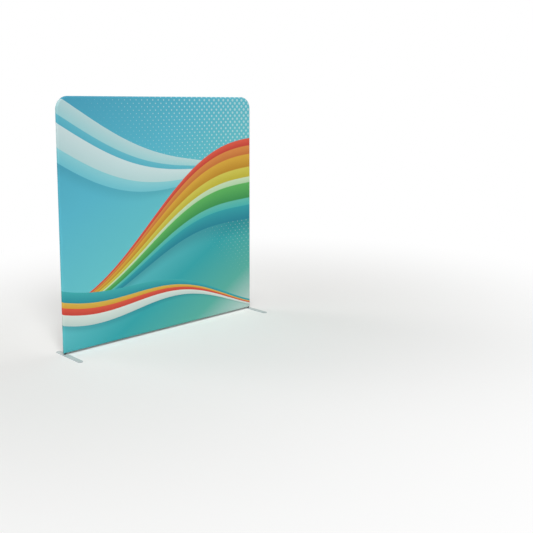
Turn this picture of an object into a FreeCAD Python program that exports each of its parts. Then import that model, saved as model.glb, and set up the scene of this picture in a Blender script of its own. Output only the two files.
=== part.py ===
import FreeCAD, Part
import math
import os

from FreeCAD import Vector

# Straight tension-fabric display: a printed stretch cover is drawn like a pillowcase over a
# knock-down frame of round tubes, zipped along the foot of its back, and stood on two plate feet.
# Millimetres, +Z up, front towards -Y, origin on the floor in the middle of the footprint.

# Overall sizes of the dressed display
COVER_WIDTH = 2337.0
COVER_TOP = 2342.0
COVER_LIFT = 17.0

# Stretch cover
COVER_THICKNESS = 0.6
COVER_CLEARANCE = 0.3
BOSS_HOLE_CLEARANCE = 1.0

# Frame tubes
TUBE_OD = 30.0
TUBE_WALL = 1.5
BEND_RADIUS = 104.0
BEND_LEG = 180.0

# Sleeves and spigots that plug into the tubes
SLEEVE_DEPTH = 60.0
SLEEVE_WALL = 2.0
SLEEVE_CLEARANCE = 0.1
LEAD_IN = 1.0

# Snap buttons on their hairpin springs
BUTTON_RADIUS = 4.0
BUTTON_PROUD = 3.5
BUTTON_ROUND = 1.5
BUTTON_SETBACK = 25.0
BUTTON_CLEARANCE = 0.25
SPRING_WIDTH = 8.0
SPRING_THICKNESS = 0.6
SPRING_CLEARANCE = 0.2
SPRING_TAIL = 7.0
SPRING_REACH = 15.0

# Blind rivets
RIVET_SHANK_RADIUS = 2.0
RIVET_HEAD_RADIUS = 3.6
RIVET_HEAD_HEIGHT = 1.2
RIVET_BULB_RADIUS = 3.0
RIVET_BULB_LENGTH = 2.5
RIVET_CLEARANCE = 0.05
RIVET_SETBACK = 25.0
RIVET_PITCH = 24.0

# Moulded bottom corner elbows
ELBOW_REACH = 32.0
BOSS_RADIUS = 11.0

# Half-moon saddles at the ends of the centre pole
SADDLE_HORN = 8.0
SADDLE_WEB = 6.0
SADDLE_NECK_RADIUS = 10.0
SADDLE_NECK_TAPER = 4.0
SADDLE_NECK_MARGIN = 5.0
SADDLE_FLANGE = 4.0
SADDLE_CLEARANCE = 0.15

# Plate feet with their screws and thread inserts
FOOT_FRONT = 285.0
FOOT_BACK = 130.0
FOOT_WIDTH = 50.0
FOOT_THICKNESS = 6.0
FOOT_EDGE = 1.5
SWIVEL_CLEARANCE = 0.08
SCREW_RADIUS = 4.0
SCREW_HEAD_RADIUS = 7.6
SCREW_HEAD_RIM = 0.5
SCREW_RECESS = 0.5
SCREW_POINT = 1.0
SOCKET_ACROSS_FLATS = 5.0
SOCKET_DEPTH = 2.5
INSERT_RADIUS = 6.0
INSERT_LENGTH = 14.0
INSERT_GROOVE = 0.8
INSERT_CLEARANCE = 0.05

# Zip along the foot of the back
ZIP_INSET = 45.0
ZIP_SLOT = 14.0
TAPE_REACH = 15.0
TAPE_THICKNESS = 0.5
TAPE_OVERRUN = 8.0
CHAIN_WIDTH = 6.0
CHAIN_THICKNESS = 2.4
STOP_LENGTH = 4.0
STOP_WIDTH = 9.0
STOP_GAP = 1.2
SLIDER_LENGTH = 15.0
SLIDER_FRONT_WIDTH = 11.4
SLIDER_REAR_WIDTH = 9.4
SLIDER_PLATE = 1.2
SLIDER_RIM = 1.0
SLIDER_NOSE = 0.8
SLIDER_CLEARANCE = 0.3
BRIDGE_LENGTH = 4.0
BRIDGE_WIDTH = 3.2
CROWN_LENGTH = 8.0
CROWN_WIDTH = 3.2
CROWN_OPENING = 2.6
CROWN_BAR = 1.2
PULL_LENGTH = 28.0
PULL_WIDTH = 8.0
PULL_THICKNESS = 1.4
PULL_EYE_CLEARANCE = 0.4
PULL_HOLE_RADIUS = 1.6

# Places that follow from the sizes
TUBE_RADIUS = TUBE_OD / 2
BORE_RADIUS = TUBE_RADIUS - TUBE_WALL
COVER_INSIDE = TUBE_RADIUS + COVER_CLEARANCE
COVER_OUTSIDE = COVER_INSIDE + COVER_THICKNESS
SIDE_X = COVER_WIDTH / 2 - COVER_OUTSIDE
TOP_Z = COVER_TOP - COVER_OUTSIDE
LOW_Z = COVER_LIFT + COVER_OUTSIDE
PANEL_Y = (FOOT_FRONT - FOOT_BACK) / 2
BEND_Z = TOP_Z - BEND_RADIUS
SHOULDER_Z = BEND_Z - BEND_LEG
COLLAR_Z = LOW_Z + ELBOW_REACH
UPRIGHT_JOINT_Z = (SHOULDER_Z + COLLAR_Z) / 2
SLEEVE_RADIUS = BORE_RADIUS - SLEEVE_CLEARANCE
SLEEVE_BORE = SLEEVE_RADIUS - SLEEVE_WALL
SADDLE_NECK = 2 * (TAPE_REACH + SADDLE_NECK_MARGIN)
SADDLE_HEIGHT = TUBE_RADIUS + SADDLE_WEB + SADDLE_NECK + SADDLE_FLANGE
POLE_LOW_Z = LOW_Z + SADDLE_HEIGHT
POLE_HIGH_Z = TOP_Z - SADDLE_HEIGHT
POLE_JOINT_Z = (POLE_LOW_Z + POLE_HIGH_Z) / 2
ZIP_Z = LOW_Z + TUBE_RADIUS + SADDLE_WEB + SADDLE_NECK / 2
ZIP_HALF = SIDE_X - ZIP_INSET
TAPE_Y = COVER_INSIDE - TAPE_THICKNESS / 2
SLIDER_X = ZIP_HALF - STOP_LENGTH - SLIDER_CLEARANCE - SLIDER_LENGTH / 2
BRIDGE_FRONT_X = SLIDER_X + SLIDER_LENGTH / 2 - SLIDER_NOSE
PLATE_INNER_GAP = CHAIN_THICKNESS / 2 + SLIDER_CLEARANCE
PLATE_FACE_Y = TAPE_Y + PLATE_INNER_GAP + SLIDER_PLATE
PULL_AXIS_Y = PLATE_FACE_Y + CROWN_OPENING / 2
DRILL_LENGTH = TUBE_OD

AXIS_X = Vector(1, 0, 0)
AXIS_Y = Vector(0, 1, 0)
AXIS_Z = Vector(0, 0, 1)

os.makedirs("parts", exist_ok=True)


def save(node, shape):
    """Writes one piece, moved from the panel's own mid-plane to its place over the feet."""
    placed = shape.copy()
    placed.translate(Vector(0, PANEL_Y, 0))
    placed.exportStep("parts/" + node + ".step")


def box(low, high):
    """A block between two opposite corners."""
    size = high - low
    return Part.makeBox(size.x, size.y, size.z, low)


def polygon_face(points):
    return Part.Face(Part.makePolygon(points + [points[0]]))


def revolved(points):
    """A turned piece: its half section, in X as radius and Z, swung round the Z axis."""
    return polygon_face([Vector(r, 0, z) for r, z in points]).revolve(Vector(), AXIS_Z, 360)


def line(a, b):
    return Part.LineSegment(a, b).toShape()


def arc(a, middle, b):
    return Part.Arc(a, middle, b).toShape()


# Tube joints. Each is drawn at its own origin: the tubes lie along X and meet at the origin, the
# fixed half of a fitting lies on the -X side, the half that slips out on the +X side, and buttons
# and rivet heads face +Z, which is turned towards the inside of the frame, away from the cover.


def joint(place, along, inward):
    turn = FreeCAD.Rotation(along, inward.cross(along), inward, "XZY")
    return FreeCAD.Placement(place, turn)


def seat(shape, where):
    """A copy of a fitting, carried from its own origin to a tube joint."""
    placed = shape.copy()
    placed.Placement = where.multiply(placed.Placement)
    return placed


SNAP_JOINTS = {
    "top": joint(Vector(0, 0, TOP_Z), AXIS_X, -AXIS_Z),
    "bottom": joint(Vector(0, 0, LOW_Z), AXIS_X, AXIS_Z),
    "left_shoulder": joint(Vector(-SIDE_X, 0, SHOULDER_Z), AXIS_Z, AXIS_X),
    "right_shoulder": joint(Vector(SIDE_X, 0, SHOULDER_Z), AXIS_Z, -AXIS_X),
    "left_upright": joint(Vector(-SIDE_X, 0, UPRIGHT_JOINT_Z), AXIS_Z, AXIS_X),
    "right_upright": joint(Vector(SIDE_X, 0, UPRIGHT_JOINT_Z), AXIS_Z, -AXIS_X),
    "centre_pole": joint(Vector(0, 0, POLE_JOINT_Z), AXIS_Z, AXIS_X),
    "left_elbow": joint(Vector(-SIDE_X, 0, COLLAR_Z), AXIS_Z, AXIS_X),
    "right_elbow": joint(Vector(SIDE_X, 0, COLLAR_Z), AXIS_Z, -AXIS_X),
}
RIVET_JOINTS = {
    "left_rail": joint(Vector(ELBOW_REACH - SIDE_X, 0, LOW_Z), -AXIS_X, AXIS_Z),
    "right_rail": joint(Vector(SIDE_X - ELBOW_REACH, 0, LOW_Z), AXIS_X, AXIS_Z),
    "pole_foot": joint(Vector(0, 0, POLE_LOW_Z), -AXIS_Z, AXIS_X),
    "pole_head": joint(Vector(0, 0, POLE_HIGH_Z), AXIS_Z, AXIS_X),
}
SLEEVED = [name for name in SNAP_JOINTS if not name.endswith("elbow")]
RIVET_PLACES = (-RIVET_SETBACK, -RIVET_SETBACK - RIVET_PITCH)


def drill(x, radius):
    """A hole from the tube's axis out through its inward wall."""
    return Part.makeCylinder(radius, DRILL_LENGTH, Vector(x, 0, 0), AXIS_Z)


def snap_hole(where):
    return seat(drill(BUTTON_SETBACK, BUTTON_RADIUS + BUTTON_CLEARANCE), where)


def rivet_holes(where):
    radius = RIVET_SHANK_RADIUS + RIVET_CLEARANCE
    return [seat(drill(x, radius), where) for x in RIVET_PLACES]


def spigot(start, end):
    """A round plug along X with a lead-in chamfer at each end, bored right through."""
    solid = Part.makeCylinder(SLEEVE_RADIUS, end - start, Vector(start, 0, 0), AXIS_X)
    solid = solid.makeChamfer(LEAD_IN, [e for e in solid.Edges if len(e.Vertexes) == 1])
    return solid.cut(Part.makeCylinder(SLEEVE_BORE, end - start, Vector(start, 0, 0), AXIS_X))


def snap_button():
    """The domed pin that locks a joint; its flat base rests on the spring's upper leaf."""
    reach = TUBE_RADIUS + BUTTON_PROUD - LEAF_FACE
    pin = Part.makeCylinder(BUTTON_RADIUS, reach, Vector(BUTTON_SETBACK, 0, LEAF_FACE), AXIS_Z)
    crown = [e for e in pin.Edges if e.BoundBox.ZMin > LEAF_FACE + reach / 2]
    return pin.makeFillet(BUTTON_ROUND, crown)


def snap_spring():
    """A hairpin of flat spring steel inside the sleeve, with one leaf under the button."""
    tail = BUTTON_SETBACK - SPRING_TAIL
    bend = BUTTON_SETBACK + SPRING_REACH
    outer = LEAF_FACE
    inner = LEAF_FACE - SPRING_THICKNESS
    y = -SPRING_WIDTH / 2

    def at(x, z):
        return Vector(x, y, z)

    edges = [
        line(at(tail, outer), at(bend, outer)),
        arc(at(bend, outer), at(bend + outer, 0), at(bend, -outer)),
        line(at(bend, -outer), at(tail, -outer)),
        line(at(tail, -outer), at(tail, -inner)),
        line(at(tail, -inner), at(bend, -inner)),
        arc(at(bend, -inner), at(bend + inner, 0), at(bend, inner)),
        line(at(bend, inner), at(tail, inner)),
        line(at(tail, inner), at(tail, outer)),
    ]
    return Part.Face(Part.Wire(edges)).extrude(Vector(0, SPRING_WIDTH, 0))


def rivet(x):
    """A blind rivet: domed head on the tube, shank through both walls, bulb inside the sleeve."""
    bulb_top = math.sqrt(SLEEVE_BORE**2 - RIVET_BULB_RADIUS**2) - RIVET_CLEARANCE
    bulb_low = bulb_top - RIVET_BULB_LENGTH
    crown = Vector(0, 0, TUBE_RADIUS + RIVET_HEAD_HEIGHT)
    brim = Vector(RIVET_HEAD_RADIUS, 0, TUBE_RADIUS)
    dome = (RIVET_HEAD_RADIUS**2 + RIVET_HEAD_HEIGHT**2) / (2 * RIVET_HEAD_HEIGHT)
    half = math.asin(RIVET_HEAD_RADIUS / dome) / 2
    middle = crown + Vector(dome * math.sin(half), 0, dome * (math.cos(half) - 1))
    corners = [
        brim,
        Vector(RIVET_SHANK_RADIUS, 0, TUBE_RADIUS),
        Vector(RIVET_SHANK_RADIUS, 0, bulb_top),
        Vector(RIVET_BULB_RADIUS, 0, bulb_top),
        Vector(RIVET_BULB_RADIUS, 0, bulb_low),
        Vector(0, 0, bulb_low),
        crown,
    ]
    edges = [line(a, b) for a, b in zip(corners, corners[1:])]
    section = Part.Face(Part.Wire(edges + [arc(crown, middle, brim)]))
    turned = section.revolve(Vector(), AXIS_Z, 360)
    turned.translate(Vector(x, 0, 0))
    return turned


LEAF_FACE = math.sqrt(SLEEVE_BORE**2 - (SPRING_WIDTH / 2) ** 2) - SPRING_CLEARANCE

for name, where in SNAP_JOINTS.items():
    save(name + "_snap_button", seat(snap_button(), where))
    save(name + "_snap_spring", seat(snap_spring(), where))

sleeve = spigot(-SLEEVE_DEPTH, SLEEVE_DEPTH)
for name in SLEEVED:
    where = SNAP_JOINTS[name]
    save(name + "_sleeve", seat(sleeve, where).cut(rivet_holes(where) + [snap_hole(where)]))

riveted = [SNAP_JOINTS[name] for name in SLEEVED] + list(RIVET_JOINTS.values())
save("frame_rivets", Part.makeCompound([seat(rivet(x), w) for w in riveted for x in RIVET_PLACES]))


# Frame tubes, drilled for the snap buttons and rivets of the joints at their ends.


def straight_tube(a, b):
    along = b - a
    outside = Part.makeCylinder(TUBE_RADIUS, along.Length, a, along)
    return outside.cut(Part.makeCylinder(BORE_RADIUS, along.Length, a, along))


def top_left_tube():
    """The top rail's left half, bent down at the corner into a short leg."""
    end = Vector(0, 0, TOP_Z)
    bend_start = Vector(BEND_RADIUS - SIDE_X, 0, TOP_Z)
    bend_centre = Vector(BEND_RADIUS - SIDE_X, 0, BEND_Z)
    bend_end = Vector(-SIDE_X, 0, BEND_Z)
    diagonal = Vector(-1, 0, 1).normalize() * BEND_RADIUS
    route = Part.Wire(
        [
            line(end, bend_start),
            arc(bend_start, bend_centre + diagonal, bend_end),
            line(bend_end, Vector(-SIDE_X, 0, SHOULDER_Z)),
        ]
    )
    rings = [Part.Wire(Part.makeCircle(r, end, AXIS_X)) for r in (TUBE_RADIUS, BORE_RADIUS)]
    ring = Part.Face(rings)
    ring.validate()
    return route.makePipe(ring)


top_left = top_left_tube()
top_right = top_left.mirror(Vector(), AXIS_X)
save(
    "top_left_tube",
    top_left.cut(rivet_holes(SNAP_JOINTS["top"]) + [snap_hole(SNAP_JOINTS["left_shoulder"])]),
)
save(
    "top_right_tube",
    top_right.cut([snap_hole(SNAP_JOINTS["top"]), snap_hole(SNAP_JOINTS["right_shoulder"])]),
)

for side, x in (("left", -SIDE_X), ("right", SIDE_X)):
    middle = SNAP_JOINTS[side + "_upright"]
    shoulder = SNAP_JOINTS[side + "_shoulder"]
    upper = straight_tube(Vector(x, 0, UPRIGHT_JOINT_Z), Vector(x, 0, SHOULDER_Z))
    lower = straight_tube(Vector(x, 0, COLLAR_Z), Vector(x, 0, UPRIGHT_JOINT_Z))
    save(side + "_upper_upright", upper.cut(rivet_holes(shoulder) + [snap_hole(middle)]))
    elbow_hole = snap_hole(SNAP_JOINTS[side + "_elbow"])
    save(side + "_lower_upright", lower.cut(rivet_holes(middle) + [elbow_hole]))

middle = SNAP_JOINTS["bottom"]
rail_start = Vector(ELBOW_REACH - SIDE_X, 0, LOW_Z)
rail_middle = Vector(0, 0, LOW_Z)
rail_end = Vector(SIDE_X - ELBOW_REACH, 0, LOW_Z)
left_holes = rivet_holes(RIVET_JOINTS["left_rail"]) + rivet_holes(middle)
right_holes = rivet_holes(RIVET_JOINTS["right_rail"]) + [snap_hole(middle)]
save("bottom_left_rail", straight_tube(rail_start, rail_middle).cut(left_holes))
save("bottom_right_rail", straight_tube(rail_middle, rail_end).cut(right_holes))

middle = SNAP_JOINTS["centre_pole"]
pole_foot = Vector(0, 0, POLE_LOW_Z)
pole_middle = Vector(0, 0, POLE_JOINT_Z)
pole_head = Vector(0, 0, POLE_HIGH_Z)
lower_holes = rivet_holes(RIVET_JOINTS["pole_foot"]) + rivet_holes(middle)
upper_holes = rivet_holes(RIVET_JOINTS["pole_head"]) + [snap_hole(middle)]
save("centre_lower_pole", straight_tube(pole_foot, pole_middle).cut(lower_holes))
save("centre_upper_pole", straight_tube(pole_middle, pole_head).cut(upper_holes))


# Half-moon saddles: turned plugs riveted into the centre pole, waisted where the zip passes behind
# them, and hollowed at the end to bear on the rail.


def saddle(where):
    """Drawn at the pole's end: plug on the -X side, half-moon head round a rail on the +X side."""
    head = SADDLE_NECK + SADDLE_FLANGE
    tip = SADDLE_HEIGHT - SADDLE_HORN
    half_section = [
        (0, 0),
        (TUBE_RADIUS, 0),
        (TUBE_RADIUS, SADDLE_FLANGE),
        (SADDLE_NECK_RADIUS, SADDLE_FLANGE + SADDLE_NECK_TAPER),
        (SADDLE_NECK_RADIUS, head - SADDLE_NECK_TAPER),
        (TUBE_RADIUS, head),
        (TUBE_RADIUS, tip),
        (0, tip),
    ]
    body = revolved(half_section)
    body.rotate(Vector(), AXIS_Y, 90)
    plug = spigot(-SLEEVE_DEPTH, 0)
    rail = Part.makeCylinder(
        TUBE_RADIUS + SADDLE_CLEARANCE, TUBE_OD * 2, Vector(SADDLE_HEIGHT, 0, -TUBE_OD), AXIS_Z
    )
    return seat(body.fuse(plug).cut(rail), where).cut(rivet_holes(where))


save("centre_bottom_saddle", saddle(RIVET_JOINTS["pole_foot"]))
save("centre_top_saddle", saddle(RIVET_JOINTS["pole_head"]))


# Bottom corners: a moulded elbow with two spigots and a boss that passes down through the cover to
# the foot. A brass thread insert in the boss takes the foot's screw.


def outer_corner(place, radius):
    """The square lower left corner where a level and an upright bar of one radius meet."""
    level = Part.makeCylinder(radius, radius, place, -AXIS_X)
    upright = Part.makeCylinder(radius, radius, place, -AXIS_Z)
    return level.common(upright)


def left_elbow():
    corner = Vector(-SIDE_X, 0, LOW_Z)
    upright_collar = Part.makeCylinder(TUBE_RADIUS, ELBOW_REACH, corner, AXIS_Z)
    rail_collar = Part.makeCylinder(TUBE_RADIUS, ELBOW_REACH, corner, AXIS_X)
    boss_height = LOW_Z - FOOT_THICKNESS
    boss = Part.makeCylinder(BOSS_RADIUS, boss_height, corner - AXIS_Z * boss_height, AXIS_Z)
    upright_spigot = seat(spigot(0, SLEEVE_DEPTH), SNAP_JOINTS["left_elbow"])
    rail_spigot = seat(spigot(-SLEEVE_DEPTH, 0), RIVET_JOINTS["left_rail"])
    body = upright_collar.fuse(rail_collar)
    for piece in (outer_corner(corner, TUBE_RADIUS), boss, upright_spigot, rail_spigot):
        body = body.fuse(piece)
    pocket_depth = INSERT_LENGTH + SCREW_POINT
    pocket = Part.makeCylinder(
        INSERT_RADIUS + INSERT_CLEARANCE, pocket_depth, Vector(-SIDE_X, 0, FOOT_THICKNESS), AXIS_Z
    )
    holes = rivet_holes(RIVET_JOINTS["left_rail"]) + [snap_hole(SNAP_JOINTS["left_elbow"])]
    return body.cut(holes + [pocket]).removeSplitter()


def thread_insert():
    """A brass bush with a retaining groove, its lower end flush with the boss."""
    low = FOOT_THICKNESS
    third = INSERT_LENGTH / 3
    waist = INSERT_RADIUS - INSERT_GROOVE
    bore = SCREW_RADIUS + INSERT_CLEARANCE
    return revolved(
        [
            (bore, low),
            (INSERT_RADIUS, low),
            (INSERT_RADIUS, low + third),
            (waist, low + third),
            (waist, low + 2 * third),
            (INSERT_RADIUS, low + 2 * third),
            (INSERT_RADIUS, low + INSERT_LENGTH),
            (bore, low + INSERT_LENGTH),
        ]
    )


HEAD_SHOULDER_Z = SCREW_RECESS + SCREW_HEAD_RIM
HEAD_TOP_Z = HEAD_SHOULDER_Z + SCREW_HEAD_RADIUS - SCREW_RADIUS
SCREW_END_Z = FOOT_THICKNESS + INSERT_LENGTH


def foot_screw():
    """A countersunk screw driven up from below, with a hexagon socket in its head."""
    body = revolved(
        [
            (0, SCREW_RECESS),
            (SCREW_HEAD_RADIUS, SCREW_RECESS),
            (SCREW_HEAD_RADIUS, HEAD_SHOULDER_Z),
            (SCREW_RADIUS, HEAD_TOP_Z),
            (SCREW_RADIUS, SCREW_END_Z - SCREW_POINT),
            (SCREW_RADIUS - SCREW_POINT, SCREW_END_Z),
            (0, SCREW_END_Z),
        ]
    )
    across_corners = SOCKET_ACROSS_FLATS / math.cos(math.pi / 6)
    turns = [math.radians(60 * i) for i in range(6)]
    hexagon = polygon_face(
        [
            Vector(across_corners / 2 * math.cos(t), across_corners / 2 * math.sin(t), SCREW_RECESS)
            for t in turns
        ]
    )
    return body.cut(hexagon.extrude(AXIS_Z * SOCKET_DEPTH))


def foot():
    """A flat bar with round ends, longer in front, countersunk below for its screw."""
    half = FOOT_WIDTH / 2
    front = half - FOOT_FRONT
    back = FOOT_BACK - half
    outline = Part.Wire(
        [
            line(Vector(-half, back, 0), Vector(-half, front, 0)),
            arc(Vector(-half, front, 0), Vector(0, -FOOT_FRONT, 0), Vector(half, front, 0)),
            line(Vector(half, front, 0), Vector(half, back, 0)),
            arc(Vector(half, back, 0), Vector(0, FOOT_BACK, 0), Vector(-half, back, 0)),
        ]
    )
    plate = Part.Face(outline).extrude(AXIS_Z * FOOT_THICKNESS)
    rim = [e for e in plate.Edges if e.BoundBox.ZMin > FOOT_THICKNESS / 2]
    plate = plate.makeFillet(FOOT_EDGE, rim)
    hole = SCREW_RADIUS + SWIVEL_CLEARANCE
    sink = SCREW_HEAD_RADIUS + SWIVEL_CLEARANCE
    below = -FOOT_THICKNESS
    countersink = revolved(
        [
            (0, below),
            (sink, below),
            (sink, HEAD_SHOULDER_Z),
            (hole, HEAD_TOP_Z),
            (hole, 2 * FOOT_THICKNESS),
            (0, 2 * FOOT_THICKNESS),
        ]
    )
    return plate.cut(countersink)


left = left_elbow()
save("left_corner_elbow", left)
save("right_corner_elbow", left.mirror(Vector(), AXIS_X))
for side, x in (("left", -SIDE_X), ("right", SIDE_X)):
    for node, piece in (
        ("foot", foot()),
        ("foot_screw", foot_screw()),
        ("thread_insert", thread_insert()),
    ):
        piece.translate(Vector(x, 0, 0))
        save(side + "_" + node, piece)


# Stretch cover. The front panel carries the print round the sides and top to a seam on the
# mid-plane, and passes under the bottom rail to the zip; the back panel closes the rest.


def rim_section(place, outward, start, end):
    """A slice of the cover's wall round a tube; 0 degrees faces outward, +90 back, -90 front."""

    def at(radius, degrees):
        turn = math.radians(degrees)
        return place + outward * (radius * math.cos(turn)) + AXIS_Y * (radius * math.sin(turn))

    middle = (start + end) / 2
    return Part.Face(
        Part.Wire(
            [
                arc(at(COVER_OUTSIDE, start), at(COVER_OUTSIDE, middle), at(COVER_OUTSIDE, end)),
                line(at(COVER_OUTSIDE, end), at(COVER_INSIDE, end)),
                arc(at(COVER_INSIDE, end), at(COVER_INSIDE, middle), at(COVER_INSIDE, start)),
                line(at(COVER_INSIDE, start), at(COVER_OUTSIDE, start)),
            ]
        )
    )


def side_and_top_rims(low, start, end):
    """The cover's wall up the left side, over the top and down the right side."""
    rise = AXIS_Z * (BEND_Z - low)
    span = AXIS_X * (2 * (SIDE_X - BEND_RADIUS))
    bend_x = SIDE_X - BEND_RADIUS
    left_bend = Vector(-bend_x, 0, BEND_Z)
    right_bend = Vector(bend_x, 0, BEND_Z)
    top_start = Vector(-bend_x, 0, TOP_Z)
    top_end = Vector(bend_x, 0, TOP_Z)
    shoulder = Vector(-SIDE_X, 0, BEND_Z)
    return [
        rim_section(Vector(-SIDE_X, 0, low), -AXIS_X, start, end).extrude(rise),
        rim_section(shoulder, -AXIS_X, start, end).revolve(left_bend, AXIS_Y, 90),
        rim_section(top_start, AXIS_Z, start, end).extrude(span),
        rim_section(top_end, AXIS_Z, start, end).revolve(right_bend, AXIS_Y, 90),
        rim_section(Vector(SIDE_X, 0, low), AXIS_X, start, end).extrude(rise),
    ]


def flat_sheet(low, y):
    """The flat of the cover within the tubes' centre lines, from a height up to the top rail."""
    bend_x = SIDE_X - BEND_RADIUS
    diagonal = BEND_RADIUS * math.sqrt(0.5)
    left_bend = Vector(-bend_x, y, BEND_Z)
    right_bend = Vector(bend_x, y, BEND_Z)
    outline = [
        line(Vector(-SIDE_X, y, low), Vector(-SIDE_X, y, BEND_Z)),
        arc(
            Vector(-SIDE_X, y, BEND_Z),
            left_bend + Vector(-diagonal, 0, diagonal),
            Vector(-bend_x, y, TOP_Z),
        ),
        line(Vector(-bend_x, y, TOP_Z), Vector(bend_x, y, TOP_Z)),
        arc(
            Vector(bend_x, y, TOP_Z),
            right_bend + Vector(diagonal, 0, diagonal),
            Vector(SIDE_X, y, BEND_Z),
        ),
        line(Vector(SIDE_X, y, BEND_Z), Vector(SIDE_X, y, low)),
        line(Vector(SIDE_X, y, low), Vector(-SIDE_X, y, low)),
    ]
    return Part.Face(Part.Wire(outline)).extrude(AXIS_Y * COVER_THICKNESS)


def joined(pieces):
    return pieces[0].multiFuse(pieces[1:]).removeSplitter()


zip_slot = box(
    Vector(-ZIP_HALF, 0, ZIP_Z - ZIP_SLOT / 2),
    Vector(ZIP_HALF, 2 * COVER_OUTSIDE, ZIP_Z + ZIP_SLOT / 2),
)


def front_panel():
    left_corner = Vector(-SIDE_X, 0, LOW_Z)
    right_corner = Vector(SIDE_X, 0, LOW_Z)
    corner_wall = outer_corner(left_corner, COVER_OUTSIDE).cut(outer_corner(left_corner, COVER_INSIDE))
    turn_up = AXIS_Z * (ZIP_Z - LOW_Z)
    pieces = [flat_sheet(LOW_Z, -COVER_OUTSIDE)]
    pieces += side_and_top_rims(LOW_Z, -90, 0)
    pieces += [
        rim_section(left_corner, -AXIS_Z, -90, 90).extrude(AXIS_X * (2 * SIDE_X)),
        corner_wall,
        corner_wall.mirror(Vector(), AXIS_X),
        rim_section(left_corner, -AXIS_X, 0, 90).extrude(turn_up),
        rim_section(right_corner, AXIS_X, 0, 90).extrude(turn_up),
        box(Vector(-SIDE_X, COVER_INSIDE, LOW_Z), Vector(SIDE_X, COVER_OUTSIDE, ZIP_Z)),
    ]
    boss_holes = [
        Part.makeCylinder(BOSS_RADIUS + BOSS_HOLE_CLEARANCE, LOW_Z, Vector(x, 0, 0), AXIS_Z)
        for x in (-SIDE_X, SIDE_X)
    ]
    return joined(pieces).cut(boss_holes + [zip_slot])


def back_panel():
    pieces = [flat_sheet(ZIP_Z, COVER_INSIDE)] + side_and_top_rims(ZIP_Z, 0, 90)
    return joined(pieces).cut(zip_slot)


save("front_panel", front_panel())
save("back_panel", back_panel())


# Zip: two woven tapes sewn behind the edges of the slot, a chain of teeth on each, end stops
# clamped over the tapes, and a slider with a flat pull. It is closed with the slider at +X.

upper_tape = box(
    Vector(-ZIP_HALF - TAPE_OVERRUN, COVER_INSIDE - TAPE_THICKNESS, ZIP_Z + CHAIN_WIDTH / 2),
    Vector(ZIP_HALF + TAPE_OVERRUN, COVER_INSIDE, ZIP_Z + TAPE_REACH),
)
lower_tape = upper_tape.mirror(Vector(0, 0, ZIP_Z), AXIS_Z)
save("zip_tape_upper", upper_tape)
save("zip_tape_lower", lower_tape)

chain_end = BRIDGE_FRONT_X - BRIDGE_LENGTH - SLIDER_CLEARANCE
upper_teeth = box(
    Vector(STOP_LENGTH - ZIP_HALF, TAPE_Y - CHAIN_THICKNESS / 2, ZIP_Z),
    Vector(chain_end, TAPE_Y + CHAIN_THICKNESS / 2, ZIP_Z + CHAIN_WIDTH / 2),
)
save("zip_teeth_upper", upper_teeth)
save("zip_teeth_lower", upper_teeth.mirror(Vector(0, 0, ZIP_Z), AXIS_Z))


def stop(start, inner):
    """A metal clamp across one tape's edge, from a distance off the zip's centre line."""
    return box(
        Vector(start, TAPE_Y - CHAIN_THICKNESS / 2, ZIP_Z + inner),
        Vector(start + STOP_LENGTH, TAPE_Y + CHAIN_THICKNESS / 2, ZIP_Z + STOP_WIDTH / 2),
    )


upper_stop = stop(ZIP_HALF - STOP_LENGTH, STOP_GAP / 2).cut(upper_tape)
lower_stop = upper_stop.mirror(Vector(0, 0, ZIP_Z), AXIS_Z)
bottom_stop = stop(-ZIP_HALF, -STOP_WIDTH / 2).cut([upper_tape, lower_tape])
save("zip_end_stops", Part.makeCompound([upper_stop, lower_stop, bottom_stop]))


def slider_plan(y, front_width, rear_width, overhang):
    """The slider's tapered outline, wide at its nose, at a depth y."""
    nose = SLIDER_X + SLIDER_LENGTH / 2 + overhang
    tail = SLIDER_X - SLIDER_LENGTH / 2 - overhang
    return polygon_face(
        [
            Vector(nose, y, ZIP_Z - front_width / 2),
            Vector(nose, y, ZIP_Z + front_width / 2),
            Vector(tail, y, ZIP_Z + rear_width / 2),
            Vector(tail, y, ZIP_Z - rear_width / 2),
        ]
    )


def slider_half(side):
    """One plate of the slider with its turned-in rims; side is +1 outside and -1 inside."""
    slit = TAPE_THICKNESS / 2 + SLIDER_CLEARANCE
    plate_y = TAPE_Y + side * PLATE_INNER_GAP
    plate = slider_plan(plate_y, SLIDER_FRONT_WIDTH, SLIDER_REAR_WIDTH, 0)
    plate = plate.extrude(AXIS_Y * (side * SLIDER_PLATE))
    corners = [e for e in plate.Edges if abs(e.BoundBox.YLength - SLIDER_PLATE) < SLIDER_CLEARANCE]
    plate = plate.makeFillet(SLIDER_NOSE, corners)
    rim_y = TAPE_Y + side * slit
    reach = AXIS_Y * (side * (PLATE_INNER_GAP - slit))
    rims = slider_plan(rim_y, SLIDER_FRONT_WIDTH, SLIDER_REAR_WIDTH, -SLIDER_NOSE).extrude(reach)
    way = slider_plan(
        rim_y, SLIDER_FRONT_WIDTH - 2 * SLIDER_RIM, SLIDER_REAR_WIDTH - 2 * SLIDER_RIM, SLIDER_NOSE
    )
    return plate.fuse(rims.cut(way.extrude(reach)))


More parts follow.
